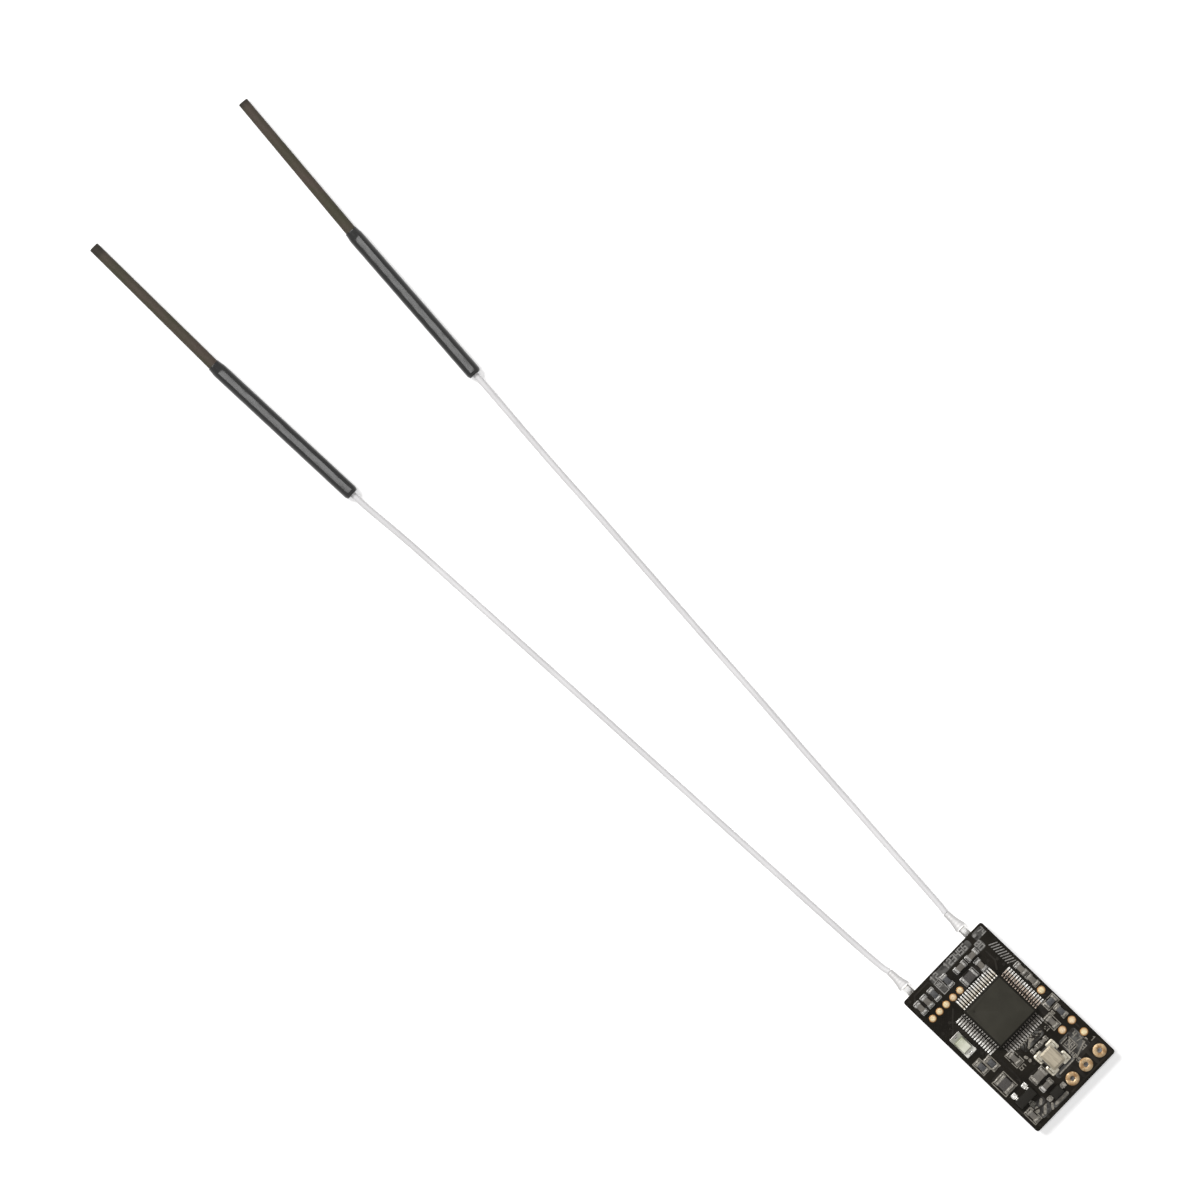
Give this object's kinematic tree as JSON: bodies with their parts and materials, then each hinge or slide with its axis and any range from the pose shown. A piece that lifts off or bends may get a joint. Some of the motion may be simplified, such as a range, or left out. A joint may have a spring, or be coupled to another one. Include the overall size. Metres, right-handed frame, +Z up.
{
  "type": "radio control receiver module",
  "caption": "Micro radio control receiver: small black circuit board with chips, gold pads and plated holes, and two thin coax cables that end in sleeve antennas.",
  "frame": {"origin": "on the surface that it stands on, under the middle of the board", "axes": "+X along the board away from the cables, +Z up out of the component side"},
  "size_m": [0.1683, 0.029, 0.0036],
  "materials": {
    "board_black": "black solder mask, satin",
    "chip_plastic": "fine matt moulding compound",
    "print_grey": "screen-printed marks",
    "tin_plate": "tinned leads and solder",
    "ceramic_tan": "fired ceramic",
    "resistor_black": "glassy black coat",
    "ferrite": "matt ferrite",
    "crystal_ceramic": "ceramic",
    "lid_metal": "satin lid metal",
    "light_base_white": "white laminate",
    "lens_yellow": "clear pale yellow-green lens",
    "pad_gold": "gold plating",
    "socket_metal": "gold-plated socket",
    "plug_metal": "tinned plug",
    "coax_grey": "smooth pale grey cable jacket",
    "jacket_black": "glossy black shrink tube",
    "tip_olive": "matt olive-brown tube",
    "brass_tube": "drawn brass",
    "core_white": "white core insulation"
  },
  "bodies": {
    "root": {"antenna_plug_1": "plug_metal", "antenna_plug_2": "plug_metal", "antenna_socket_1": "socket_metal", "antenna_socket_2": "socket_metal", "antenna_switch": "chip_plastic", "brass_sleeve_1": "brass_tube", "brass_sleeve_2": "brass_tube", "bulk_capacitor_1": "ceramic_tan", "bulk_capacitor_2": "ceramic_tan", "capacitor_1": "ceramic_tan", "capacitor_10": "ceramic_tan", "capacitor_11": "ceramic_tan", "capacitor_2": "ceramic_tan", "capacitor_3": "ceramic_tan", "capacitor_4": "ceramic_tan", "capacitor_5": "ceramic_tan", "capacitor_6": "ceramic_tan", "capacitor_7": "ceramic_tan", "capacitor_8": "ceramic_tan", "capacitor_9": "ceramic_tan", "circuit_board": "board_black", "coax_cable_1": "coax_grey", "coax_cable_2": "coax_grey", "crystal_base": "crystal_ceramic", "crystal_lid": "lid_metal", "diode": "chip_plastic", "ferrite_bead": "ferrite", "led_base": "light_base_white", "led_lens": "lens_yellow", "load_capacitor_1": "ceramic_tan", "load_capacitor_2": "ceramic_tan", "microcontroller": "chip_plastic", "plated_hole_1": "pad_gold", "plated_hole_2": "pad_gold", "plated_hole_3": "pad_gold", "power_inductor": "ferrite", "program_pad_1": "pad_gold", "program_pad_2": "pad_gold", "program_pad_3": "pad_gold", "program_pad_4": "pad_gold", "program_pad_5": "pad_gold", "radiator_wire_1": "core_white", "radiator_wire_2": "core_white", "radio_chip": "chip_plastic", "regulator": "chip_plastic", "resistor_1": "resistor_black", "resistor_2": "resistor_black", "resistor_3": "resistor_black", "resistor_4": "resistor_black", "resistor_5": "resistor_black", "resistor_6": "resistor_black", "sleeve_jacket_1": "jacket_black", "sleeve_jacket_2": "jacket_black", "supply_capacitor": "ceramic_tan", "test_pad_1": "pad_gold", "test_pad_2": "pad_gold", "test_pad_3": "pad_gold", "test_pad_4": "pad_gold", "tip_tube_1": "tip_olive", "tip_tube_2": "tip_olive"}
  },
  "joints": []
}
